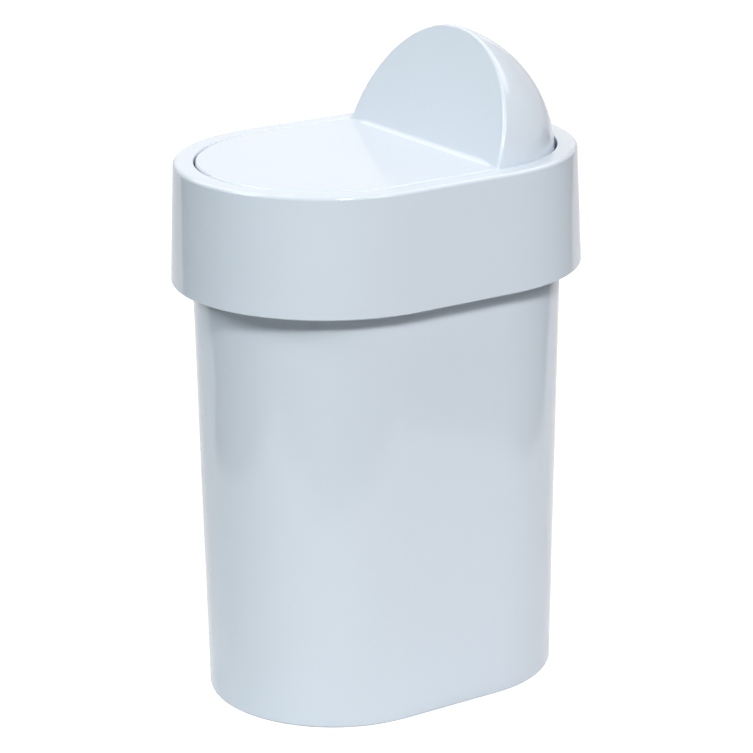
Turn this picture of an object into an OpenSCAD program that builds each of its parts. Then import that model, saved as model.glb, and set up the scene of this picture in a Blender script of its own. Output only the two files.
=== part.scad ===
// Countertop trash can with a swing lid: a drafted bucket, a lift-off collar that hides the bag's
// edge, and a lid whose dome rolls down through the round rear end of the collar's mouth.
// Millimetres, +Z up. The front, where the flat plate lies, faces -Y and the dome is at +Y.
// The origin is on the table, under the middle of the bucket.

/* [Bucket] */
// Half the length of the straight sides, from the middle to the centre of each round end
half_straight = 20.2; // [12:0.1:40]
// Outer radius of the round ends at the foot
foot_r = 47.1; // [38:0.1:60]
// Height of the bucket, from the table to its rim
bucket_h = 190; // [120:1:260]
// Draft of the bucket's wall, in degrees
bucket_draft = 1; // [0.5:0.1:2]
// Thickness of the bucket's wall
bucket_wall = 2; // [1.6:0.1:2.6]
// Thickness of the bucket's floor
floor_t = 2.4; // [1.8:0.1:4]
// Height of the foot ring, which keeps the floor off the table
foot_h = 1.2; // [0.8:0.1:3]
// Width of the foot ring
foot_w = 5; // [4:0.5:10]
// Rounding of the bucket's outer edge at the foot
foot_edge = 1.1; // [0.5:0.1:2]
// Rounding between the wall and the floor, inside
floor_fillet = 4; // [2:0.5:10]
// Height of the thickened band round the rim
bead_h = 4; // [3:0.5:8]
// How far the thickened band stands out of the wall
bead_out = 1.4; // [0.6:0.1:1.8]
// Rounding of the rim's edges
rim_edge = 0.6; // [0.3:0.1:0.9]

/* [Collar] */
// How far the collar's top edge stands out past the bucket's wall
overhang = 5.3; // [5:0.1:10]
// Height of the outer band, from its lower edge to the flat land on top
band_h = 43.2; // [25:0.1:60]
// Draft of the outer band, in degrees
band_draft = 2.4; // [1:0.1:4]
// Thickness of the outer band
band_wall = 2; // [1.6:0.1:2.4]
// Thickness of the flat land
land_t = 2; // [1.6:0.1:2.6]
// Rounding of the land's outer edge
land_edge = 1.4; // [0.6:0.1:1.9]
// Rounding of the mouth's edge
mouth_edge = 0.5; // [0.3:0.1:1]
// Thickness of the inner skirt round the mouth
skirt_t = 2; // [1.8:0.1:2.6]
// Thickness of the ribs that centre the collar on the bucket
rib_t = 1.2; // [0.8:0.1:2]
// Clearance between those ribs and the bucket's rim
rib_play = 0.4; // [0.3:0.1:0.8]
// How far the ribs stop above the band's lower edge
rib_rise = 8; // [3:0.5:16]
// Height over which the ribs taper at their lower ends
rib_taper = 4; // [2:0.5:8]
// Width of the ledge that the lid's front edge rests on
ledge_w = 3.4; // [2.6:0.1:6]
// Thickness of that ledge
ledge_t = 2; // [1.8:0.1:4]
// Angle of the front end that the ledge spans, in degrees
ledge_angle = 70; // [30:5:120]

/* [Lid] */
// Gap between the plate and the mouth
plate_gap = 0.7; // [0.5:0.05:0.8]
// Gap between the dome and the round end of the mouth
dome_gap = 0.85; // [0.8:0.05:1.6]
// How far the plate's top stands above the land
plate_proud = 0.1; // [0:0.1:1.2]
// Thickness of the plate
plate_t = 2.2; // [1.6:0.1:2.8]
// Rounding of the plate's top edge
plate_edge = 0.8; // [0.4:0.1:1.4]
// Thickness of the dome, of its flat wall and of the plate's rim
dome_t = 2; // [1.6:0.1:2.6]
// How far the dome's flat wall leans back, in degrees
wall_lean = 21; // [10:1:35]
// How far the flat wall's face lies ahead of the pivot axis
wall_ahead = 2.2; // [1:0.1:4]
// Rounding of the ridge between the flat wall and the dome
ridge_edge = 1.2; // [0.6:0.1:2]
// Rounding of the inner corner between the plate and the flat wall
corner_r = 1.8; // [0.8:0.1:4]

/* [Pivot] */
// Depth of the pivot axis below the land
pivot_drop = 4; // [3.8:0.1:8]
// Radius of the pivot pins
pin_r = 2; // [1.5:0.1:2.4]
// Running clearance round a pin in the collar
pin_play = 0.06; // [0.02:0.01:0.1]
// Interference of a pin in the lid
pin_grip = 0.02; // [0.01:0.01:0.05]
// Wall of the lid's bosses round the pins
boss_wall = 2; // [1.5:0.1:2.4]
// Length of those bosses, inwards from the dome's wall
boss_l = 5; // [3:0.5:10]
// How far a pin's head stands out past its shank
head_out = 1.2; // [0.6:0.1:1.6]
// Thickness of a pin's head
head_t = 1.6; // [1:0.1:3]
// Chamfer at a pin's tip
pin_tip = 0.5; // [0.3:0.1:0.8]
// Thickness of the pads that the pins run in, outside the skirt
pad_t = 1.8; // [1.2:0.1:2.4]
// How far a pin's tip stops inside the pad's face
tip_recess = 0.3; // [0.2:0.1:0.6]
// How far the lid opens, in degrees
open_angle = 65; // [45:1:69]
// Radial thickness of the stop lugs beside the pins
lug_t = 1.5; // [1:0.1:2]
// Half the angle that a stop lug spans, in degrees
lug_half = 9; // [6:1:12]
// Width of the lid's ears round the lugs
ear_rim = 0.6; // [0.4:0.1:1]
// Width of the collar's pads round the lugs
pad_rim = 1.6; // [1:0.1:2.4]
// How far the lugs reach into the collar's pockets
lug_reach = 0.9; // [0.6:0.1:1.1]
// Clearance between a lug and the walls of its pocket
lug_play = 0.4; // [0.3:0.1:0.5]
// Angle left between a lug and its stops, in degrees
stop_play = 1; // [0.5:0.5:2]

/* [Hidden] */
$fn = 128;
shell_colour = [0.84, 0.88, 0.92];
pin_colour = [0.90, 0.92, 0.94];
arc_steps = 6;
// How far a cut runs past the face that it opens
past = 1;
// Chamfer at the band's lower edge
lip = 0.4;
rib_angles = [-66, -22, 22, 66];
rib_places = [-0.7, 0.25];

// Bucket, worked out from the sizes above
rim_r = foot_r + bucket_h * tan(bucket_draft);
mouth_r = rim_r - bucket_wall;
floor_top = foot_h + floor_t;
floor_r = foot_r + floor_top * tan(bucket_draft) - bucket_wall;

// Pivot and lid
boss_r = pin_r + boss_wall;
collar_top = bucket_h + ledge_t + boss_r + pivot_drop;
pivot_z = collar_top - pivot_drop;
lid_foot = pivot_z - boss_r;
plate_top = collar_top + plate_proud;
plate_r = mouth_r - plate_gap;
dome_r = mouth_r - dome_gap;
lug_in = boss_r;
lug_out = lug_in + lug_t;
ear_r = lug_out + ear_rim;
pad_r = lug_out + pad_rim;
boss_end = dome_r - dome_t - boss_l;
pad_face = mouth_r + skirt_t + pad_t;
pin_end = pad_face - tip_recess;
lug_face = mouth_r + lug_reach;

// Collar
land_r = rim_r + overhang;
band_foot = collar_top - band_h;
band_foot_r = land_r + band_h * tan(band_draft);
skirt_r = mouth_r + skirt_t;
rib_r = rim_r + bead_out + rib_play;

// Points along an arc of radius r about (x, z), from angle a to angle b
function arc(x, z, r, a, b) =
    [for (i = [0:arc_steps]) let (t = a + (b - a) * i / arc_steps) [x + r * cos(t), z + r * sin(t)]];

// A profile, drawn as radius against height, swept round the two round ends and the straight sides
module sweep_round() {
    for (turn = [0, 180]) {
        rotate([0, 0, turn]) translate([0, half_straight, 0]) rotate_extrude(angle = 180) children();
        rotate([90, 0, turn]) linear_extrude(2 * half_straight, center = true) children();
    }
}

// The half disc of radius r that is left below a flat cut at height h, its edge rounded by e
module cut_disc(r, h, e) {
    edge_x = sqrt(pow(r - e, 2) - pow(h - e, 2));
    edge_turn = atan2(h - e, edge_x);
    difference() {
        intersection() {
            circle(r);
            translate([0, -r]) square([r, r + h]);
        }
        difference() {
            polygon([[edge_x, h - e], [edge_x, h + past], [r + past, h + past],
                     [(r + past) * cos(edge_turn), (r + past) * sin(edge_turn)]]);
            translate([edge_x, h - e]) circle(e, $fn = 48);
        }
    }
}

// Everything behind the flat wall's plane, moved back by the depth given, as a large block
module behind_wall(depth) {
    size = 3 * dome_r;
    translate([0, half_straight, pivot_z]) rotate([90 - wall_lean, 0, 0])
        translate([-size / 2, -size / 2, wall_ahead - depth - size]) cube(size);
}

// The dome with its flat wall, solid: a ball cut flat, with a rounded ridge
module dome_form() {
    translate([0, half_straight, pivot_z]) rotate([90 - wall_lean, 0, 0]) rotate([0, 0, -90])
        rotate_extrude() cut_disc(dome_r, wall_ahead, ridge_edge);
}

// The hollow inside the dome
module dome_room() {
    intersection() {
        translate([0, half_straight, pivot_z]) sphere(dome_r - dome_t);
        behind_wall(dome_t);
    }
}

// Bucket: drafted wall, thickened rim, and a floor held off the table by the foot ring
module bucket_profile() {
    slope = tan(bucket_draft);
    bead_r = rim_r + bead_out;
    polygon(concat(
        [[0, foot_h], [foot_r - foot_w - foot_h, foot_h], [foot_r - foot_w, 0]],
        arc(foot_r - foot_edge, foot_edge, foot_edge, -90, bucket_draft),
        [[rim_r - (bead_h + bead_out) * slope, bucket_h - bead_h - bead_out]],
        [[bead_r, bucket_h - bead_h]],
        arc(bead_r - rim_edge, bucket_h - rim_edge, rim_edge, 0, 90),
        arc(mouth_r + rim_edge, bucket_h - rim_edge, rim_edge, 90, 180),
        arc(floor_r + floor_fillet * slope - floor_fillet, floor_top + floor_fillet,
            floor_fillet, 0, -90),
        [[0, floor_top]]));
}

module bucket() {
    color(shell_colour) sweep_round() bucket_profile();
}

// Collar: outer band, flat land and inner skirt, swept as one wall
module collar_profile() {
    slope = tan(band_draft);
    polygon(concat(
        [[skirt_r, bucket_h], [skirt_r, collar_top - land_t]],
        [[land_r - band_wall + land_t * slope, collar_top - land_t]],
        [[band_foot_r - band_wall, band_foot + lip], [band_foot_r - band_wall + lip, band_foot]],
        [[band_foot_r - lip, band_foot], [band_foot_r - lip * slope, band_foot + lip]],
        arc(land_r + land_edge * slope - land_edge, collar_top - land_edge, land_edge,
            band_draft, 90),
        arc(mouth_r + mouth_edge, collar_top - mouth_edge, mouth_edge, 90, 180),
        [[mouth_r, bucket_h]]));
}

// The room between band and skirt that a rib fills
module rib_profile() {
    rib_foot = band_foot + rib_rise;
    slope = tan(band_draft);
    wall_mid = band_wall / 2;
    rib_foot_r = land_r + (collar_top - rib_foot) * slope - wall_mid;
    polygon([[skirt_r - wall_mid, bucket_h + rim_edge], [skirt_r - wall_mid, collar_top - land_t / 2],
             [land_r - wall_mid, collar_top - land_t / 2], [rib_foot_r, rib_foot],
             [rib_foot_r - wall_mid, rib_foot], [rib_r, rib_foot + rib_taper],
             [rib_r, bucket_h + rim_edge]]);
}

module rib() {
    rotate([90, 0, 0]) linear_extrude(rib_t, center = true) rib_profile();
}

module ribs() {
    for (turn = [0, 180]) {
        rotate([0, 0, turn]) translate([0, half_straight, 0])
            for (a = rib_angles) rotate([0, 0, 90 + a]) rib();
        for (place = rib_places)
            translate([0, place * half_straight, 0]) rotate([0, 0, turn]) rib();
    }
}

// The ledge inside the front of the skirt, under the lid's edge
module ledge() {
    translate([0, -half_straight, bucket_h]) rotate([0, 0, -90 - ledge_angle / 2])
        rotate_extrude(angle = ledge_angle)
            translate([mouth_r - ledge_w, 0]) square([ledge_w + skirt_t / 2, ledge_t]);
}

// A ring sector about the pivot axis, centred on the angle given, from x0 to x1
module pivot_sector(r0, r1, middle, half, x0, x1) {
    translate([x0, half_straight, pivot_z]) rotate([90, 0, 90]) rotate([0, 0, middle - half])
        rotate_extrude(angle = 2 * half) translate([r0, 0]) square([r1 - r0, x1 - x0]);
}

// A round bar along the pivot axis, from x0 to x1
module pivot_bar(r, x0, x1) {
    translate([x0, half_straight, pivot_z]) rotate([0, 90, 0]) cylinder(h = x1 - x0, r = r);
}

// The pad outside the skirt that a pin runs in, flat where it stands on the bucket's rim
module pad() {
    intersection() {
        pivot_bar(pad_r, mouth_r + skirt_t / 2, pad_face);
        translate([0, 0, bucket_h]) cube([2 * land_r, 4 * land_r, collar_top - bucket_h - land_t / 2]);
    }
}

// The pocket in the skirt, open at its lower edge, whose two ends stop the lug on the lid
module pocket() {
    pivot_sector(lug_in - lug_play, 2 * (pivot_z - bucket_h), -90,
                 open_angle / 2 + lug_half + stop_play, mouth_r - past, lug_face + lug_play);
}

module both_sides() {
    children();
    mirror([1, 0, 0]) children();
}

module collar() {
    color(shell_colour) difference() {
        union() {
            sweep_round() collar_profile();
            ribs();
            ledge();
            both_sides() pad();
        }
        both_sides() {
            pocket();
            pivot_bar(pin_r + pin_play, mouth_r - past, pad_face + past);
        }
    }
}

// The plate with its rim: the front round end and the straight sides, up to the pivot axis
module plate_profile() {
    top_arc = arc(plate_r - plate_edge, plate_top - plate_edge, plate_edge, 0, 90);
    polygon(concat([[0, lid_foot], [plate_r, lid_foot]], top_arc, [[0, plate_top]]));
}

module plate_room_profile() {
    translate([0, lid_foot - past])
        square([plate_r - dome_t, plate_top - plate_t - lid_foot + past]);
}

module sweep_front() {
    translate([0, -half_straight, 0]) rotate([0, 0, 180]) rotate_extrude(angle = 180) children();
    for (turn = [0, 180])
        rotate([90, 0, turn]) linear_extrude(2 * half_straight, center = true) children();
}

// The rounded inner corner where the flat wall rises from the plate
module wall_corner() {
    corner_y = half_straight - (wall_ahead - (plate_top - pivot_z) * sin(wall_lean))
        / cos(wall_lean);
    opening = 90 + wall_lean;
    run = corner_r / tan(opening / 2);
    // The strip ends where the wall's flat face does, at the height that the rounding reaches
    flat_r = sqrt(pow(dome_r - ridge_edge, 2) - pow(wall_ahead - ridge_edge, 2));
    up_wall = (plate_top - pivot_z - wall_ahead * sin(wall_lean)) / cos(wall_lean) + run;
    length = 2 * sqrt(pow(flat_r, 2) - pow(up_wall, 2));
    translate([-length / 2, corner_y, plate_top]) rotate([90, 0, 90]) linear_extrude(length)
        difference() {
            polygon([[-run, 0], [-run, -plate_t / 2], [plate_t / 2, -plate_t / 2],
                     [run * sin(wall_lean) + plate_t / 2, run * cos(wall_lean)],
                     [run * sin(wall_lean), run * cos(wall_lean)]]);
            translate([-run, corner_r]) circle(corner_r, $fn = 64);
        }
}

// The lug that turns in the collar's pocket and stops the lid when it is shut and when it is open
module lug() {
    pivot_sector(lug_in, lug_out, -90 + open_angle / 2, lug_half, dome_r - dome_t / 2, lug_face);
}

// The hollow under the plate and inside the dome, less the bosses that the pins go through
module lid_room() {
    difference() {
        union() {
            difference() {
                sweep_front() plate_room_profile();
                behind_wall(0);
            }
            dome_room();
        }
        both_sides() pivot_bar(boss_r, boss_end, dome_r);
    }
}

module lid() {
    color(shell_colour) difference() {
        union() {
            difference() {
                union() {
                    sweep_front() plate_profile();
                    intersection() {
                        dome_form();
                        translate([-land_r, -land_r, lid_foot]) cube(4 * land_r);
                    }
                    wall_corner();
                }
                lid_room();
            }
            both_sides() {
                pivot_bar(ear_r, dome_r - dome_t, dome_r - dome_t / 3);
                lug();
            }
        }
        both_sides() pivot_bar(pin_r - pin_grip, boss_end - past, plate_r + past);
    }
}

// Pivot pin: pushed outwards from inside the lid, its head against the boss, its tip in the pad
module pivot_pin() {
    color(pin_colour) translate([boss_end, half_straight, pivot_z]) rotate([0, 90, 0])
        rotate_extrude()
            polygon([[0, -head_t], [pin_r + head_out, -head_t], [pin_r + head_out, 0], [pin_r, 0],
                     [pin_r, pin_end - boss_end - pin_tip], [pin_r - pin_tip, pin_end - boss_end],
                     [0, pin_end - boss_end]]);
}

module pivot_pin_left() {
    mirror([1, 0, 0]) pivot_pin();
}

module pivot_pin_right() {
    pivot_pin();
}

bucket();
collar();
lid();
pivot_pin_left();
pivot_pin_right();
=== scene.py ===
"""A countertop trash can with a swing lid, in glossy pale blue-grey plastic, in a white studio.

Metres, +Z up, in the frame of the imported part: the plate lies at the front, which faces -Y, and the
dome stands at +Y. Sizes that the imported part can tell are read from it; the rest are named here.
"""

import math

import bmesh
import bpy
from mathutils import Matrix, Vector


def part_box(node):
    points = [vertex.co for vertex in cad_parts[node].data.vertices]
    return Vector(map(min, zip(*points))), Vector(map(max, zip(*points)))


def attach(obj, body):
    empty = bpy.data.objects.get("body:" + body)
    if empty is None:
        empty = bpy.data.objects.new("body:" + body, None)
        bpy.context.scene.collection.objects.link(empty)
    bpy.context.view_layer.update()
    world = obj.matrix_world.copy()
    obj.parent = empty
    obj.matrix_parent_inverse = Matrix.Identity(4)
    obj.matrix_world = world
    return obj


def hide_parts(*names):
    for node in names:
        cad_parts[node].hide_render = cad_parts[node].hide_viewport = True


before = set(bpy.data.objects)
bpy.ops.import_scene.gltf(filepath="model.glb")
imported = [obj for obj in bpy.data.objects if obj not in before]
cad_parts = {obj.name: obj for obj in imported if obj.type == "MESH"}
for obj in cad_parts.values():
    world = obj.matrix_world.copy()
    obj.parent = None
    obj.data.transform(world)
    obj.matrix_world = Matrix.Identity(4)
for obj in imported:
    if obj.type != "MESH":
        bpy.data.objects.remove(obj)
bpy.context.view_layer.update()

# ---- Sizes ----------------------------------------------------------------------------------------

MM = 0.001
BUCKET_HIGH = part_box("bucket")[1]
COLLAR_LOW, COLLAR_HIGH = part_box("collar")
PIN_LOW, PIN_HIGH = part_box("pivot_pin_right")

# Bucket: a drafted wall with a thickened rim, on a foot ring
HALF_STRAIGHT = BUCKET_HIGH.y - BUCKET_HIGH.x
BUCKET_TOP = BUCKET_HIGH.z
BEAD_R = BUCKET_HIGH.x
BEAD_OUT = 1.4 * MM
BEAD_HEIGHT = 4 * MM
RIM_R = BEAD_R - BEAD_OUT
RIM_EDGE = 0.6 * MM
BUCKET_SLOPE = math.tan(math.radians(1))
BUCKET_WALL = 2 * MM
FOOT_R = RIM_R - BUCKET_TOP * BUCKET_SLOPE
FOOT_EDGE = 1.1 * MM
FOOT_WIDTH = 5 * MM
FOOT_HEIGHT = 1.2 * MM
FLOOR_TOP = 3.6 * MM
FLOOR_FILLET = 4 * MM

# Collar: outer band, flat land round the mouth, and inner skirt
BAND_SLOPE = math.tan(math.radians(2.4))
BAND_WALL = 2 * MM
BAND_FOOT = COLLAR_LOW.z
BAND_FOOT_R = COLLAR_HIGH.x
COLLAR_TOP = COLLAR_HIGH.z
LAND_R = BAND_FOOT_R - (COLLAR_TOP - BAND_FOOT) * BAND_SLOPE
LAND_EDGE = 1.4 * MM
LAND_THICK = 2 * MM
MOUTH_R = RIM_R - BUCKET_WALL
MOUTH_EDGE = 0.5 * MM
SKIRT_R = MOUTH_R + 2 * MM
LIP_EDGE = 0.4 * MM
RIB_THICK = 1.2 * MM
RIB_R = BEAD_R + 0.4 * MM
RIB_FOOT = BAND_FOOT + 8 * MM
RIB_TAPER = 4 * MM
RIBS_AT_END = 4
RIBS_AT_SIDE = 2
RIB_FIRST_TURN = 24
RIB_TURN_STEP = 44
RIB_FIRST_PLACE = -0.7 * HALF_STRAIGHT
RIB_PLACE_STEP = 0.95 * HALF_STRAIGHT
LEDGE_WIDTH = 3.4 * MM
LEDGE_TOP = BUCKET_TOP + 2 * MM
LEDGE_TURN = 70

# Lid: a plate at the front and a dome behind, both about the pivot
PIVOT = Vector((0, HALF_STRAIGHT, (PIN_LOW.z + PIN_HIGH.z) / 2))
OPEN_TURN = 65
LID_FOOT = LEDGE_TOP
PLATE_R = MOUTH_R - 0.7 * MM
PLATE_TOP = COLLAR_TOP + 0.1 * MM
PLATE_THICK = 2.2 * MM
PLATE_EDGE = 0.8 * MM
SHELL = 2 * MM
DOME_R = MOUTH_R - 0.85 * MM
WALL_LEAN = math.radians(21)
WALL_AHEAD = 2.2 * MM
RIDGE_EDGE = 1.2 * MM
WALL_FLAT_R = math.sqrt((DOME_R - RIDGE_EDGE) ** 2 - (WALL_AHEAD - RIDGE_EDGE) ** 2)
CORNER_R = 2.6 * MM
CORNER_END = 9 * MM
CORNER_LAST = 0.98

# Pivot: pins pushed out through the lid's bosses into the collar's pads, and the stop lugs
PIN_R = 2 * MM
PIN_HEAD_R = PIN_HIGH.z - PIVOT.z
PIN_HEAD = 1.6 * MM
PIN_TIP = 0.5 * MM
PIN_GRIP = 0.02 * MM
PIN_PLAY = 0.06 * MM
BOSS_R = 4 * MM
BOSS_END = PIN_LOW.x + PIN_HEAD
EAR_R = 6.1 * MM
PAD_R = 7.1 * MM
PAD_FACE = SKIRT_R + 1.8 * MM
LUG_OUT = 5.5 * MM
LUG_HALF = 9
LUG_FACE = MOUTH_R + 0.9 * MM
LUG_PLAY = 0.4 * MM
STOP_PLAY = 1

# Roundings of edges that are hidden or hardly seen
FINE_EDGE = 0.15 * MM
SMALL_EDGE = 0.3 * MM
INNER_EDGE = 0.5 * MM
RING_EDGE = 0.6 * MM
NECK_EDGE = 1.5 * MM

# How finely round stretches are divided: in steps, or for small roundings in degrees to a step
END_STEPS = 96
BAR_STEPS = 24
BALL_STEPS = 72
CORNER_STEPS = 12
EDGE_TURN = 12

# The degrees between two faces above which the edge that they share stays sharp
CREASE_TURN = 30

# How far a cut runs past the face that it opens, and how close points are before they are made one
PAST = 1 * MM
SWEEP_WELD = 0.002 * MM
CLEAN_WELD = 0.0005 * MM

# ---- The camera, as the photograph has it -----------------------------------------------------------

VIEW_AZIMUTH = math.radians(56.745)
VIEW_ELEVATION = math.radians(17.965)
VIEW_ROLL = math.radians(-0.533)
VIEW_DISTANCE = 1.1348
VIEW_TARGET = Vector((0.00732, -0.00586, 0.11754))
LENS_MM = 148.97


# ---- Node trees -------------------------------------------------------------------------------------

class Value:
    """A node socket that Python arithmetic works on: every operation adds a Math node."""

    def __init__(self, tree, socket):
        self.tree = tree
        self.socket = socket

    def math(self, operation, *others):
        node = self.tree.nodes.new("ShaderNodeMath")
        node.operation = operation
        for slot, term in zip(node.inputs, (self, *others)):
            put(self.tree, slot, term)
        return Value(self.tree, node.outputs[0])

    def __add__(self, other):
        return self.math("ADD", other)

    def __mul__(self, other):
        return self.math("MULTIPLY", other)

    def __sub__(self, other):
        return self.math("SUBTRACT", other)

    def __rsub__(self, other):
        return self.math("MULTIPLY_ADD", -1, other)

    def __truediv__(self, other):
        return self.math("DIVIDE", other)

    def __mod__(self, other):
        return self.math("MODULO", other)

    def floor(self):
        return self.math("FLOOR")

    def sine(self):
        return self.math("SINE")

    def cosine(self):
        return self.math("COSINE")


def put(tree, slot, term):
    """Links a Value or a socket to a node's input, or writes a plain number, colour or name there."""
    if isinstance(term, Value):
        tree.links.new(term.socket, slot)
    elif isinstance(term, bpy.types.NodeSocket):
        tree.links.new(term, slot)
    else:
        slot.default_value = term


def set_stops(ramp, stops):
    """Gives a colour ramp its stops, each a place and a grey level."""
    while len(ramp.elements) < len(stops):
        ramp.elements.new(0.5)
    for element, (place, level) in zip(ramp.elements, stops):
        element.position = place
        element.color = (level, level, level, 1)


class Tree:
    """A node tree with one way to add a node: its type, its settings, then its inputs."""

    def __init__(self, tree):
        self.tree = tree

    def add(self, kind, settings=None, inputs=None, output=0):
        node = self.tree.nodes.new(kind)
        for name, setting in (settings or {}).items():
            if name == "stops":
                set_stops(node.color_ramp, setting)
            else:
                setattr(node, name, setting)
        for name, term in (inputs or {}).items():
            put(self.tree, node.inputs[name], term)
        return Value(self.tree, node.outputs[output])


def new_group(name, given, made):
    """A Geometry Nodes group with the inputs given, each a name and a kind, and one geometry output."""
    group = bpy.data.node_groups.new(name, "GeometryNodeTree")
    for title, kind in given:
        group.interface.new_socket(title, in_out="INPUT", socket_type="NodeSocket" + kind)
    group.interface.new_socket(made, in_out="OUTPUT", socket_type="NodeSocketGeometry")
    sockets = group.nodes.new("NodeGroupInput").outputs
    values = {title: Value(group, sockets[title]) for title, kind in given}
    return group, Tree(group), values


def end_group(tree, geometry, material):
    """Ends a group: its geometry made real, smooth and in its material."""
    real = tree.add("GeometryNodeRealizeInstances", inputs={"Geometry": geometry})
    smooth = tree.add("GeometryNodeSetShadeSmooth", inputs={"Geometry": real})
    dressed = tree.add("GeometryNodeSetMaterial", inputs={"Geometry": smooth, "Material": material})
    out = tree.tree.nodes.new("NodeGroupOutput")
    put(tree.tree, out.inputs[0], dressed)


def sweep_group():
    """Sweeps a profile round an oval: two half turns joined by straight sides."""
    group, tree, given = new_group("oval_sweep", [
        ("Profile", "Geometry"), ("Half Straight", "Float"), ("End Steps", "Int"),
        ("Material", "Material")], "Wall")
    steps = given["End Steps"]
    points = tree.add("GeometryNodeAttributeDomainSize", {"component": "MESH"},
                      {"Geometry": given["Profile"]}, output="Point Count")
    grid = tree.add("GeometryNodeMeshGrid", inputs={"Vertices X": steps * 2 + 3, "Vertices Y": points})
    index = tree.add("GeometryNodeInputIndex")
    column = ((index + 0.5) / points).floor()
    sampled = tree.add("GeometryNodeSampleIndex", {"data_type": "FLOAT_VECTOR"}, {
        "Geometry": given["Profile"], "Value": tree.add("GeometryNodeInputPosition"),
        "Index": index % points})
    split = group.nodes.new("ShaderNodeSeparateXYZ")
    put(group, split.inputs[0], sampled)
    radius = Value(group, split.outputs["X"])
    height = Value(group, split.outputs["Z"])
    half = ((column + 0.5) / (steps + 1)).floor()
    turn = ((column - half * (steps + 1)) / steps + half) * math.pi
    centre = given["Half Straight"] * (1 - (half % 2) * 2)
    place = tree.add("ShaderNodeCombineXYZ", inputs={
        "X": radius * turn.cosine(), "Y": radius * turn.sine() + centre, "Z": height})
    moved = tree.add("GeometryNodeSetPosition", inputs={"Geometry": grid, "Position": place})
    welded = tree.add("GeometryNodeMergeByDistance", inputs={"Geometry": moved, "Distance": SWEEP_WELD})
    end_group(tree, welded, given["Material"])
    return group


def rib_group():
    """Sets copies of a rib in a row, each turned and shifted by a step more than the one before."""
    group, tree, given = new_group("rib_row", [
        ("Rib", "Geometry"), ("Count", "Int"), ("First Turn", "Float"), ("Turn Step", "Float"),
        ("First Place", "Float"), ("Place Step", "Float"), ("Material", "Material")], "Ribs")
    index = tree.add("GeometryNodeInputIndex")
    place = tree.add("ShaderNodeCombineXYZ",
                     inputs={"Y": given["First Place"] + index * given["Place Step"]})
    turn = tree.add("ShaderNodeCombineXYZ", inputs={"Z": given["First Turn"] + index * given["Turn Step"]})
    points = tree.add("GeometryNodePoints", inputs={"Count": given["Count"]})
    spread = tree.add("GeometryNodeSetPosition", inputs={"Geometry": points, "Position": place})
    copies = tree.add("GeometryNodeInstanceOnPoints",
                      inputs={"Points": spread, "Instance": given["Rib"], "Rotation": turn})
    end_group(tree, copies, given["Material"])
    return group


# ---- Mesh tools ---------------------------------------------------------------------------------------

def new_object(name, mesh):
    made = bpy.data.objects.new(name, mesh)
    bpy.context.scene.collection.objects.link(made)
    return made


def set_outwards(work):
    """Makes the faces of a closed mesh point outwards."""
    bmesh.ops.recalc_face_normals(work, faces=work.faces)
    if work.calc_volume(signed=True) < 0:
        bmesh.ops.reverse_faces(work, faces=work.faces)


def edited(piece, *steps):
    """Runs steps of bmesh work on a piece's mesh, leaves its faces outwards, and returns the piece."""
    work = bmesh.new()
    work.from_mesh(piece.data)
    for step in steps:
        step(work)
    set_outwards(work)
    work.to_mesh(piece.data)
    work.free()
    return piece


def baked(source, name):
    """The source with its modifiers applied, as a plain mesh object; the source is removed."""
    bpy.context.view_layer.update()
    graph = bpy.context.evaluated_depsgraph_get()
    mesh = bpy.data.meshes.new_from_object(source.evaluated_get(graph))
    mesh.name = name
    bpy.data.objects.remove(source)
    return new_object(name, mesh)


def set_inputs(modifier, **values):
    """Sets a Geometry Nodes modifier's inputs through the identifiers of their sockets."""
    for title, value in values.items():
        sockets = modifier.node_group.interface.items_tree
        identifier = next(s.identifier for s in sockets
                          if s.in_out == "INPUT" and s.name == title.replace("_", " "))
        modifier[identifier] = value


def arc(x, z, r, start, end, steps=None):
    """Points (radius, height) along an arc about (x, z), from one angle in degrees to the other."""
    steps = steps or max(2, math.ceil(abs(end - start) / EDGE_TURN))
    turns = [math.radians(start + (end - start) * i / steps) for i in range(steps + 1)]
    return [(x + r * math.cos(t), z + r * math.sin(t)) for t in turns]


def rounded(corners):
    """A profile's points: each corner is (radius, height) or (radius, height, rounding)."""
    points = []
    for i, (x, z, *edge) in enumerate(corners):
        if not edge:
            points.append((x, z))
            continue
        here = Vector((x, z))
        back = (Vector(corners[i - 1][:2]) - here).normalized()
        on = (Vector(corners[(i + 1) % len(corners)][:2]) - here).normalized()
        half = back.angle(on) / 2
        centre = here + (back + on).normalized() * edge[0] / math.sin(half)
        start = here + back * edge[0] / math.tan(half) - centre
        end = here + on * edge[0] / math.tan(half) - centre
        from_turn = math.degrees(math.atan2(start.y, start.x))
        turn = (math.degrees(math.atan2(end.y, end.x)) - from_turn + 180) % 360 - 180
        points += arc(centre.x, centre.y, edge[0], from_turn, from_turn + turn)
    return points


def swept(name, profile, material, half_straight=HALF_STRAIGHT, steps=END_STEPS, closed=False):
    """A profile of (radius, height) points swept round the oval, or round a circle without a straight."""
    points = list(profile) + (list(profile)[:1] if closed else [])
    mesh = bpy.data.meshes.new(name + "_profile")
    mesh.from_pydata([(r, 0, z) for r, z in points], [(i, i + 1) for i in range(len(points) - 1)], [])
    mesh.materials.append(material)
    source = new_object(name + "_profile", mesh)
    modifier = source.modifiers.new("sweep", "NODES")
    modifier.node_group = SWEEP
    set_inputs(modifier, Half_Straight=half_straight, End_Steps=steps, Material=material)
    return edited(baked(source, name))


def rib_row(name, rib, count, first_turn, turn_step, first_place, place_step):
    """Copies of a rib in a row: turns are in degrees, and places are along Y."""
    source = new_object(name, rib.copy())
    modifier = source.modifiers.new("row", "NODES")
    modifier.node_group = RIB_ROW
    set_inputs(modifier, Count=count, First_Turn=math.radians(first_turn), Material=rib.materials[0],
               Turn_Step=math.radians(turn_step), First_Place=first_place, Place_Step=place_step)
    return baked(source, name)


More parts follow.
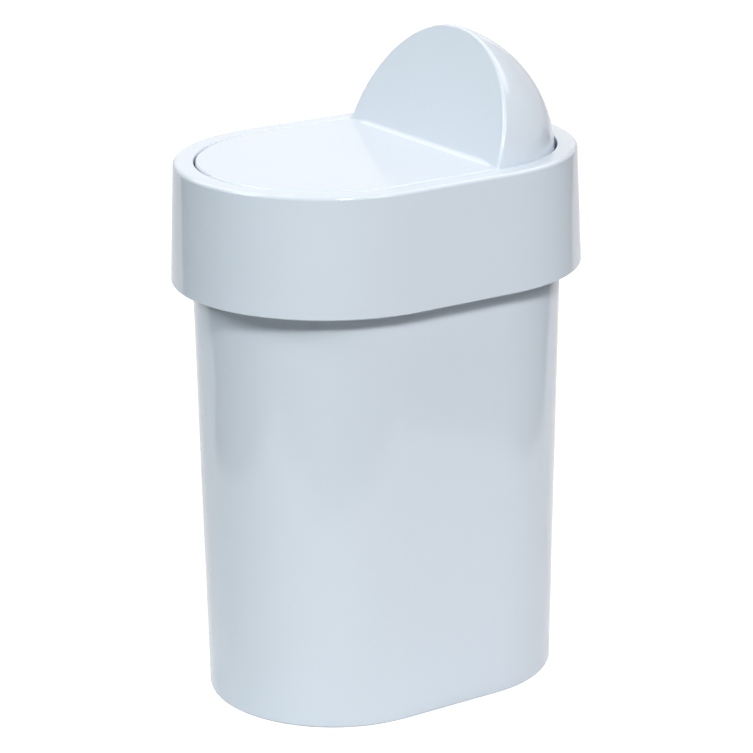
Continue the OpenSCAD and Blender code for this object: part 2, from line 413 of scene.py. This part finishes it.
def placed(piece, matrix):
    piece.data.transform(matrix)
    return edited(piece)


def mirrored(piece):
    """A copy of a piece on the other side, in X."""
    copy = new_object(piece.name + "_left", piece.data.copy())
    return placed(copy, Matrix.Diagonal((-1, 1, 1, 1)))


def both_sides(piece):
    return piece, mirrored(piece)


def lofted(name, sections, material):
    """A closed solid through sections, which are rings of as many (x, y, z) points each."""
    count = len(sections[0])
    last = len(sections) - 1
    corners = [point for section in sections for point in section]
    faces = [tuple(range(count)), tuple(range(last * count, (last + 1) * count))]
    for i in range(last):
        for j in range(count):
            k = (j + 1) % count
            faces.append((i * count + j, i * count + k, (i + 1) * count + k, (i + 1) * count + j))
    mesh = bpy.data.meshes.new(name)
    mesh.from_pydata(corners, [], faces)
    mesh.materials.append(material)
    return edited(new_object(name, mesh))


def prism(name, points, low, high, material):
    """A polygon drawn in X and Z, drawn out along Y from low to high."""
    return lofted(name, [[(x, y, z) for x, z in points] for y in (low, high)], material)


def sector(name, profile, middle, half, material):
    """A closed profile of (radius, height) points turned about Z, by half to each side of middle."""
    steps = max(4, math.ceil(half))
    turns = [math.radians(middle - half + 2 * half * i / steps) for i in range(steps + 1)]
    sections = [[(r * math.cos(t), r * math.sin(t), z) for r, z in profile] for t in turns]
    return lofted(name, sections, material)


def box_points(x0, z0, x1, z1):
    return [(x0, z0), (x1, z0), (x1, z1), (x0, z1)]


def combined(operation, piece, *others):
    """Joins, cuts or crosses a closed piece with others, which are used up."""
    for other in others:
        modifier = piece.modifiers.new("solid", "BOOLEAN")
        modifier.operation = operation
        modifier.object = other
        modifier.solver = "MANIFOLD"
    result = baked(piece, piece.name)
    for other in others:
        bpy.data.objects.remove(other)
    return result


def joined(piece, *others):
    return combined("UNION", piece, *others)


def cut(piece, *others):
    return combined("DIFFERENCE", piece, *others)


def crossed(piece, *others):
    return combined("INTERSECT", piece, *others)


def mark_creases(work):
    """Keeps an edge sharp where its faces meet at more than the crease turn."""
    for edge in work.edges:
        edge.smooth = len(edge.link_faces) == 2 and edge.calc_face_angle() < math.radians(CREASE_TURN)
    for face in work.faces:
        face.smooth = True


def clean_up(work):
    """Makes points that meet one, and takes out faces of no area and pairs that lie back to back."""
    bmesh.ops.remove_doubles(work, verts=work.verts, dist=CLEAN_WELD)
    bmesh.ops.dissolve_degenerate(work, edges=work.edges, dist=CLEAN_WELD)
    twins = {}
    for face in work.faces:
        twins.setdefault(frozenset(face.verts), []).append(face)
    flaps = [face for pair in twins.values() if len(pair) > 1 for face in pair]
    bmesh.ops.delete(work, geom=flaps, context="FACES")


def finished(piece, name, body, node):
    """Gives a piece creases and smooth shading, and sets it in the frame in place of its CAD node."""
    edited(piece, clean_up, mark_creases)
    shading = piece.modifiers.new("shading", "WEIGHTED_NORMAL")
    shading.keep_sharp = True
    shading.mode = "FACE_AREA_WITH_ANGLE"
    done = baked(piece, name)
    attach(done, body)
    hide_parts(node)
    return done


# ---- Materials ----------------------------------------------------------------------------------------

PLASTIC_IOR = 1.5
FLOW_HEIGHT = 0.02 * MM
TONE_SPREAD = 0.015
DUST_COLOUR = (0.36, 0.38, 0.42, 1)
DUST_AMOUNT = 0.25
HAZE = 0.05
SMEAR = 0.08


def plastic(name, colour, roughness, seed):
    """Glossy moulded plastic: a little unevenness of tone, slight flow in the surface, haze and dust."""
    material = bpy.data.materials.new(name)
    material.use_nodes = True
    tree = Tree(material.node_tree)
    shader = material.node_tree.nodes["Principled BSDF"]
    place = tree.add("ShaderNodeTexCoord", output="Object")

    def noise(scale, detail, offset):
        shifted = tree.add("ShaderNodeMapping", inputs={"Vector": place, "Location": (seed, offset, seed)})
        return tree.add("ShaderNodeTexNoise",
                        inputs={"Vector": shifted, "Scale": scale, "Detail": detail, "Roughness": 0.55})

    tone = noise(9, 2, 1) * 0.6 + noise(60, 3, 2) * 0.4
    shade = tree.add("ShaderNodeMix", {"data_type": "RGBA"}, {
        0: tone, 6: tuple(c * (1 - TONE_SPREAD) for c in colour) + (1,),
        7: tuple(c * (1 + TONE_SPREAD) for c in colour) + (1,)}, output=2)
    grains = tree.add("ShaderNodeTexVoronoi", inputs={"Vector": place, "Scale": 90})
    dots = tree.add("ShaderNodeValToRGB", {"stops": ((0.030, 1), (0.045, 0))}, {"Fac": grains})
    patches = tree.add("ShaderNodeValToRGB", {"stops": ((0.60, 0), (0.64, 1))}, {"Fac": noise(45, 0, 3)})
    spotted = tree.add("ShaderNodeMix", {"data_type": "RGBA"},
                       {0: dots * patches * DUST_AMOUNT, 6: shade, 7: DUST_COLOUR}, output=2)
    haze = noise(400, 3, 4)
    smears = noise(22, 4, 5)
    put(tree.tree, shader.inputs["Base Color"], spotted)
    uneven = haze * HAZE + smears * SMEAR + (roughness - (HAZE + SMEAR) / 2)
    put(tree.tree, shader.inputs["Roughness"], uneven)
    wave = noise(38, 1, 6) + noise(150, 1, 7) * 0.12
    bump = tree.add("ShaderNodeBump", inputs={"Height": wave, "Strength": 1.0, "Distance": FLOW_HEIGHT})
    put(tree.tree, shader.inputs["Normal"], bump)
    shader.inputs["IOR"].default_value = PLASTIC_IOR
    return material


SHELL_COLOUR = (0.70, 0.775, 0.85)
SHELL_ROUGHNESS = 0.10
PIN_COLOUR = (0.78, 0.81, 0.84)
PIN_ROUGHNESS = 0.2
BUCKET_PLASTIC = plastic("bucket_gloss", SHELL_COLOUR, SHELL_ROUGHNESS, 3)
COLLAR_PLASTIC = plastic("collar_gloss", SHELL_COLOUR, SHELL_ROUGHNESS, 5)
LID_PLASTIC = plastic("lid_gloss", SHELL_COLOUR, SHELL_ROUGHNESS, 7)
PIN_PLASTIC = plastic("pin_gloss", PIN_COLOUR, PIN_ROUGHNESS, 9)

SWEEP = sweep_group()
RIB_ROW = rib_group()


# ---- Bucket -------------------------------------------------------------------------------------------

def bucket_profile():
    neck = BUCKET_TOP - BEAD_HEIGHT - BEAD_OUT
    ring_r = FOOT_R - FOOT_WIDTH
    inside_r = FOOT_R + FLOOR_TOP * BUCKET_SLOPE - BUCKET_WALL
    inside_neck = BUCKET_TOP - 2 * BEAD_HEIGHT
    return rounded([
        (0, FOOT_HEIGHT),
        (ring_r - FOOT_HEIGHT, FOOT_HEIGHT, RING_EDGE),
        (ring_r, 0, RING_EDGE),
        (FOOT_R, 0, FOOT_EDGE),
        (FOOT_R + neck * BUCKET_SLOPE, neck, NECK_EDGE),
        (BEAD_R, BUCKET_TOP - BEAD_HEIGHT, INNER_EDGE),
        (BEAD_R, BUCKET_TOP, RIM_EDGE),
        (MOUTH_R, BUCKET_TOP, RIM_EDGE),
        (MOUTH_R - (BUCKET_TOP - inside_neck) * BUCKET_SLOPE, inside_neck),
        (inside_r, FLOOR_TOP, FLOOR_FILLET),
        (0, FLOOR_TOP)])


bucket = swept("bucket_shell", bucket_profile(), BUCKET_PLASTIC)
finished(bucket, "bucket_shell", "bucket", "bucket")


# ---- Collar -------------------------------------------------------------------------------------------

def collar_profile():
    under_land = COLLAR_TOP - LAND_THICK
    return rounded([
        (MOUTH_R, BUCKET_TOP, SMALL_EDGE),
        (SKIRT_R, BUCKET_TOP, SMALL_EDGE),
        (SKIRT_R, under_land, INNER_EDGE),
        (LAND_R - BAND_WALL + LAND_THICK * BAND_SLOPE, under_land, 1 * MM),
        (BAND_FOOT_R - BAND_WALL, BAND_FOOT, LIP_EDGE),
        (BAND_FOOT_R, BAND_FOOT, LIP_EDGE),
        (LAND_R, COLLAR_TOP, LAND_EDGE),
        (MOUTH_R, COLLAR_TOP, MOUTH_EDGE)])


def rib_points():
    """The room between band and skirt that a rib fills, as a polygon that ends inside both walls."""
    middle = BAND_WALL / 2
    foot_r = LAND_R + (COLLAR_TOP - RIB_FOOT) * BAND_SLOPE - middle
    return [
        (SKIRT_R - middle, BUCKET_TOP + RIM_EDGE),
        (SKIRT_R - middle, COLLAR_TOP - LAND_THICK / 2),
        (LAND_R - middle, COLLAR_TOP - LAND_THICK / 2),
        (foot_r, RIB_FOOT),
        (foot_r - middle, RIB_FOOT),
        (RIB_R, RIB_FOOT + RIB_TAPER),
        (RIB_R, BUCKET_TOP + RIM_EDGE)]


def ribs():
    """The ribs round each end and on each side."""
    rib = prism("rib", rib_points(), -RIB_THICK / 2, RIB_THICK / 2, COLLAR_PLASTIC)

    def at_end(name, turn, place):
        return rib_row(name, rib.data, RIBS_AT_END, RIB_FIRST_TURN + turn, RIB_TURN_STEP, place, 0)

    def at_side(name, turn):
        return rib_row(name, rib.data, RIBS_AT_SIDE, turn, 0, RIB_FIRST_PLACE, RIB_PLACE_STEP)

    rows = [at_end("front_ribs", 180, -HALF_STRAIGHT), at_end("rear_ribs", 0, HALF_STRAIGHT),
            at_side("right_ribs", 0), at_side("left_ribs", 180)]
    bpy.data.objects.remove(rib)
    return rows


def ledge():
    """The ledge inside the front of the skirt, which the lid's front edge rests on."""
    points = rounded([
        (MOUTH_R - LEDGE_WIDTH, BUCKET_TOP, SMALL_EDGE),
        (MOUTH_R + MM, BUCKET_TOP),
        (MOUTH_R + MM, LEDGE_TOP),
        (MOUTH_R - LEDGE_WIDTH, LEDGE_TOP, SMALL_EDGE)])
    made = sector("ledge", points, -90, LEDGE_TURN / 2, COLLAR_PLASTIC)
    return placed(made, Matrix.Translation((0, -HALF_STRAIGHT, 0)))


def pivot_bar(name, r, near, far, material, edge=0):
    """A round bar along the pivot axis on the right, its far edge rounded."""
    points = rounded([(0, near), (r, near), (r, far, edge) if edge else (r, far), (0, far)])
    bar = swept(name, points, material, half_straight=0, steps=BAR_STEPS)
    return placed(bar, Matrix.Translation((0, PIVOT.y, PIVOT.z)) @ Matrix.Rotation(math.pi / 2, 4, "Y"))


def pivot_sector(name, r0, r1, middle, half, near, far, material):
    """A ring sector about the pivot axis on the right; its angles run from +Y towards +Z."""
    made = sector(name, box_points(r0, near, r1, far), middle, half, material)
    turn = Matrix(((0, 0, 1, 0), (1, 0, 0, PIVOT.y), (0, 1, 0, PIVOT.z), (0, 0, 0, 1)))
    return placed(made, turn)


def pad():
    """The pad that a pin runs in, flat where it stands on the bucket's rim."""
    bar = pivot_bar("pad", PAD_R, MOUTH_R + MM, PAD_FACE, COLLAR_PLASTIC, SMALL_EDGE)
    room = box_points(0, BUCKET_TOP, 2 * LAND_R, COLLAR_TOP - LAND_THICK / 2)
    return crossed(bar, prism("pad_room", room, 0, 4 * LAND_R, COLLAR_PLASTIC))


def pocket():
    """The pocket in the skirt, open at its lower edge, whose two ends stop the lid's lug."""
    half = OPEN_TURN / 2 + LUG_HALF + STOP_PLAY
    return pivot_sector("pocket", BOSS_R - LUG_PLAY, 2 * (PIVOT.z - BUCKET_TOP), -90, half,
                        MOUTH_R - PAST, LUG_FACE + LUG_PLAY, COLLAR_PLASTIC)


def bore(r, near, far, material):
    return pivot_bar("bore", r, near, far, material)


def collar():
    wall = swept("collar_wall", collar_profile(), COLLAR_PLASTIC, closed=True)
    whole = joined(wall, *ribs(), ledge(), *both_sides(pad()))
    return cut(whole, *both_sides(pocket()),
               *both_sides(bore(PIN_R + PIN_PLAY, MOUTH_R - PAST, PAD_FACE + PAST, COLLAR_PLASTIC)))


finished(collar(), "collar_shell", "collar", "collar")


# ---- Lid ----------------------------------------------------------------------------------------------

# Turns a form drawn about Z so that its axis is square to the leaning wall, through the pivot
LEANING = Matrix.Translation(PIVOT) @ Matrix.Rotation(math.pi / 2 - WALL_LEAN, 4, "X")


def plate():
    """The plate with its rim: the oval's front end and straight sides, up to the pivot axis."""
    points = rounded([
        (0, LID_FOOT), (PLATE_R, LID_FOOT, SMALL_EDGE), (PLATE_R, PLATE_TOP, PLATE_EDGE), (0, PLATE_TOP)])
    oval = swept("plate", points, LID_PLASTIC)
    behind = box_points(-LAND_R, 0, LAND_R, 2 * PLATE_TOP)
    return cut(oval, prism("behind", behind, PIVOT.y, 4 * PIVOT.y + LAND_R, LID_PLASTIC))


def dome():
    """A ball cut flat along the leaning wall, with a rounded ridge, down to the lid's lower edge."""
    edge_turn = math.degrees(math.atan2(WALL_AHEAD - RIDGE_EDGE, WALL_FLAT_R))
    points = ([(0, WALL_AHEAD)]
              + arc(WALL_FLAT_R, WALL_AHEAD - RIDGE_EDGE, RIDGE_EDGE, 90, edge_turn)
              + arc(0, 0, DOME_R, edge_turn, -90, BALL_STEPS)[1:])
    whole = placed(swept("dome", points, LID_PLASTIC, half_straight=0), LEANING)
    above = box_points(-2 * LAND_R, LID_FOOT, 2 * LAND_R, 4 * LAND_R + LID_FOOT)
    return crossed(whole, prism("above", above, -4 * LAND_R, 4 * LAND_R, LID_PLASTIC))


def ball(name, r):
    """A ball about the pivot, with its poles square to the leaning wall."""
    points = arc(0, 0, r, 90, -90, BALL_STEPS)
    return placed(swept(name, points, LID_PLASTIC, half_straight=0), LEANING)


def corner_section(x, r):
    """The inner corner rounded by r, as the (y, z) outline of a strip sunk into wall and plate."""
    base_y = PIVOT.y - (WALL_AHEAD - (PLATE_TOP - PIVOT.z) * math.sin(WALL_LEAN)) / math.cos(WALL_LEAN)
    run = r / math.tan((math.pi / 2 + WALL_LEAN) / 2)
    wall_y = run * math.sin(WALL_LEAN)
    wall_z = run * math.cos(WALL_LEAN)
    sunk = PLATE_THICK / 2
    outline = (arc(-run, r, r, -90, -math.degrees(WALL_LEAN), CORNER_STEPS)
               + [(wall_y + sunk, wall_z), (sunk, -sunk), (-run, -sunk)])
    return [(x, base_y + y, PLATE_TOP + z) for y, z in outline]


def corner():
    """The rounded inner corner at the wall's foot: its radius fades out towards both ends of the flat face,
    and the last section stops just short of nothing, so that the strip stays a solid."""
    up_wall = (PLATE_TOP - PIVOT.z - WALL_AHEAD * math.sin(WALL_LEAN)) / math.cos(WALL_LEAN)
    reach = math.sqrt(WALL_FLAT_R ** 2 - up_wall ** 2)
    fades = [i / CORNER_STEPS for i in range(CORNER_STEPS)] + [CORNER_LAST]
    ends = [(reach - CORNER_END * (1 - f), CORNER_R * (1 + math.cos(math.pi * f)) / 2) for f in fades]
    sections = [corner_section(-x, r) for x, r in reversed(ends)] + [corner_section(x, r) for x, r in ends]
    return lofted("corner", sections, LID_PLASTIC)


def behind_wall(depth):
    """Everything behind the wall's face moved back by depth, as a large block."""
    size = 3 * DOME_R
    points = box_points(-size / 2, WALL_AHEAD - depth - size, size / 2, WALL_AHEAD - depth)
    return placed(prism("behind_wall", points, -size / 2, size / 2, LID_PLASTIC), LEANING)


def plate_room():
    """The hollow under the plate, ahead of the wall."""
    points = [(0, LID_FOOT - PAST), (PLATE_R - SHELL, LID_FOOT - PAST),
              (PLATE_R - SHELL, PLATE_TOP - PLATE_THICK), (0, PLATE_TOP - PLATE_THICK)]
    return cut(swept("plate_room", points, LID_PLASTIC), behind_wall(0))


def dome_room():
    """The hollow inside the dome, behind the wall."""
    return crossed(ball("dome_room", DOME_R - SHELL), behind_wall(SHELL))


def lug():
    """The lug that turns in the collar's pocket and stops the lid, shut and open."""
    return pivot_sector("lug", BOSS_R, LUG_OUT, -90 + OPEN_TURN / 2, LUG_HALF,
                        DOME_R - SHELL / 2, LUG_FACE, LID_PLASTIC)


def boss():
    return pivot_bar("boss", BOSS_R, BOSS_END, DOME_R, LID_PLASTIC)


def ear():
    """The disc behind a lug, kept below the plate's top."""
    disc = pivot_bar("ear", EAR_R, DOME_R - SHELL, DOME_R - SHELL / 3, LID_PLASTIC)
    below = box_points(0, PIVOT.z - 2 * EAR_R, 2 * DOME_R, PLATE_TOP - PLATE_THICK / 2)
    return crossed(disc, prism("below_plate", below, 0, 4 * PIVOT.y, LID_PLASTIC))


def lid():
    whole = joined(plate(), dome(), corner())
    room = cut(joined(plate_room(), dome_room()), *both_sides(boss()))
    shell = cut(whole, room)
    shell = joined(shell, *both_sides(ear()), *both_sides(lug()))
    return cut(shell, *both_sides(bore(PIN_R - PIN_GRIP, BOSS_END - PAST, PLATE_R + PAST, LID_PLASTIC)))


finished(lid(), "lid_shell", "lid", "lid")


# ---- Pivot pins -----------------------------------------------------------------------------------------

def pin():
    head = PIN_LOW.x
    points = rounded([
        (0, head), (PIN_HEAD_R, head, SMALL_EDGE), (PIN_HEAD_R, BOSS_END, FINE_EDGE), (PIN_R, BOSS_END),
        (PIN_R, PIN_HIGH.x - PIN_TIP, SMALL_EDGE), (PIN_R - PIN_TIP, PIN_HIGH.x, FINE_EDGE),
        (0, PIN_HIGH.x)])
    bar = swept("pin", points, PIN_PLASTIC, half_straight=0, steps=BAR_STEPS)
    return placed(bar, Matrix.Translation((0, PIVOT.y, PIVOT.z)) @ Matrix.Rotation(math.pi / 2, 4, "Y"))


right_pin, left_pin = both_sides(pin())
finished(right_pin, "pin_right", "lid", "pivot_pin_right")
finished(left_pin, "pin_left", "lid", "pivot_pin_left")


# ---- Floor, lights and camera ---------------------------------------------------------------------------

def view_axes():
    """The photograph's view as three directions: right, up and back towards the camera."""
    a, e, roll = VIEW_AZIMUTH, VIEW_ELEVATION, VIEW_ROLL
    back = Vector((math.sin(a) * math.cos(e), -math.cos(a) * math.cos(e), math.sin(e)))
    level = Vector((math.cos(a), math.sin(a), 0))
    upright = back.cross(level)
    right = math.cos(roll) * level + math.sin(roll) * upright
    up = math.cos(roll) * upright - math.sin(roll) * level
    return right, up, back


def place_camera():
    right, up, back = view_axes()
    data = bpy.data.cameras.new("camera")
    data.lens = LENS_MM
    data.clip_end = 20
    camera = new_object("camera", data)
    turn = Matrix((right, up, back)).transposed().to_4x4()
    camera.matrix_world = Matrix.Translation(VIEW_TARGET + back * VIEW_DISTANCE) @ turn
    bpy.context.scene.camera = camera


def stage_material(name, colour, camera_glow, gloss_glow):
    """A matt stage surface that the camera sees as white or nearly, and that still takes a shadow."""
    material = bpy.data.materials.new(name)
    material.use_nodes = True
    nodes = material.node_tree
    tree = Tree(nodes)
    nodes.nodes.remove(nodes.nodes["Principled BSDF"])
    to_camera = tree.add("ShaderNodeLightPath", output="Is Camera Ray")
    to_gloss = tree.add("ShaderNodeLightPath", output="Is Glossy Ray")
    to_clear = tree.add("ShaderNodeLightPath", output="Is Transmission Ray")
    glow = to_camera * camera_glow + (to_gloss + to_clear) * gloss_glow
    matt = tree.add("ShaderNodeBsdfDiffuse", inputs={"Color": (*colour, 1)})
    light = tree.add("ShaderNodeEmission", inputs={"Color": (1, 1, 1, 1), "Strength": glow})
    put(nodes, nodes.nodes["Material Output"].inputs["Surface"],
        tree.add("ShaderNodeAddShader", inputs={0: matt, 1: light}))
    return material


def studio_point(right, ahead, up):
    """A point given as right of the can, ahead of it towards the camera, and up, in metres."""
    across = Vector((math.cos(VIEW_AZIMUTH), math.sin(VIEW_AZIMUTH), 0))
    towards = Vector((math.sin(VIEW_AZIMUTH), -math.cos(VIEW_AZIMUTH), 0))
    return across * right + towards * ahead + Vector((0, 0, up))


def floor_sheet(name, corners, height, material):
    """A flat sheet of the stage, whose corners are given as right of the can and ahead of it."""
    mesh = bpy.data.meshes.new(name)
    mesh.from_pydata([studio_point(x, y, height) for x, y in corners], [], [tuple(range(len(corners)))])
    mesh.materials.append(material)
    new_object(name, mesh)


def soft_box(name, turn, rise, width, height, power, colour):
    """A lamp facing the can: its angles are turn, right of the camera, and rise, above the table."""
    turn = math.radians(turn)
    rise = math.radians(rise)
    level = math.cos(rise)
    direction = studio_point(math.sin(turn) * level, math.cos(turn) * level, math.sin(rise))
    data = bpy.data.lights.new(name, "AREA")
    data.shape = "RECTANGLE"
    data.size = width
    data.size_y = height
    data.energy = power
    data.color = colour
    lamp = new_object(name, data)
    place = Matrix.Translation(LIT_POINT + direction * LAMP_DISTANCE)
    lamp.matrix_world = place @ direction.to_track_quat("Z", "Y").to_matrix().to_4x4()
    lamp.visible_camera = False


place_camera()

# The can stands on a white table that runs back to a wide white backdrop. The ground beside the
# table is grey to the can's gloss, though the camera sees it white
PALE = (0.72, 0.725, 0.73)
GREY = (0.2, 0.205, 0.21)
TABLE_WHITE = stage_material("table_white", PALE, 0.6, 0.35)
BACKDROP_WHITE = stage_material("backdrop_white", PALE, 1.0, 0.62)
GROUND_GREY = stage_material("ground_grey", GREY, 1.0, 0.085)
floor_sheet("table", [(-0.29, 0.285), (0.29, 0.235), (0.29, -0.15), (0.54, -0.54), (0.54, -0.9),
                      (-0.8, -0.9), (-0.6, -0.49), (-0.4, -0.13), (-0.29, -0.11)], 0, TABLE_WHITE)
floor_sheet("backdrop", [(-5, -0.9), (0.54, -0.9), (0.75, -1.15), (1.5, -1.95), (5, -4.5), (5, -6),
                         (-5, -6)], 0, BACKDROP_WHITE)
floor_sheet("ground", [(-5, 4), (5, 4), (5, -6), (-5, -6)], -1 * MM, GROUND_GREY)

LIT_POINT = Vector((0, 0, 0.12))
LAMP_DISTANCE = 1.6
soft_box("key_box", 12, 37.5, 0.2, 0.2, 13.95, (0.99, 1.0, 0.98))
soft_box("right_box", 40, 38, 0.5, 0.5, 6.4, (1.0, 0.96, 1.0))
soft_box("left_box", -70, 38, 0.5, 0.5, 9.5, (0.90, 0.97, 1.0))
soft_box("left_rear_box", -140, 50, 1.0, 1.0, 6.5, (1.0, 0.92, 0.89))
soft_box("right_rear_box", 130, 50, 1.0, 1.0, 7.3, (1.0, 0.96, 0.98))
soft_box("rear_box", 180, 12, 0.9, 0.4, 0.4, (1.0, 1.0, 1.0))

# The surround is white to the camera, and a softer white to the can's gloss
SURROUND_GLOW = 0.83
world = bpy.data.worlds.new("studio")
world.use_nodes = True
studio = Tree(world.node_tree)
surround = world.node_tree.nodes["Background"]
surround.inputs["Color"].default_value = (1, 1, 1, 1)
seen = studio.add("ShaderNodeLightPath", output="Is Camera Ray")
reflected = studio.add("ShaderNodeLightPath", output="Is Glossy Ray")
through = studio.add("ShaderNodeLightPath", output="Is Transmission Ray")
put(world.node_tree, surround.inputs["Strength"], seen + (reflected + through) * SURROUND_GLOW)
bpy.context.scene.world = world
bpy.context.scene.view_settings.view_transform = "Standard"
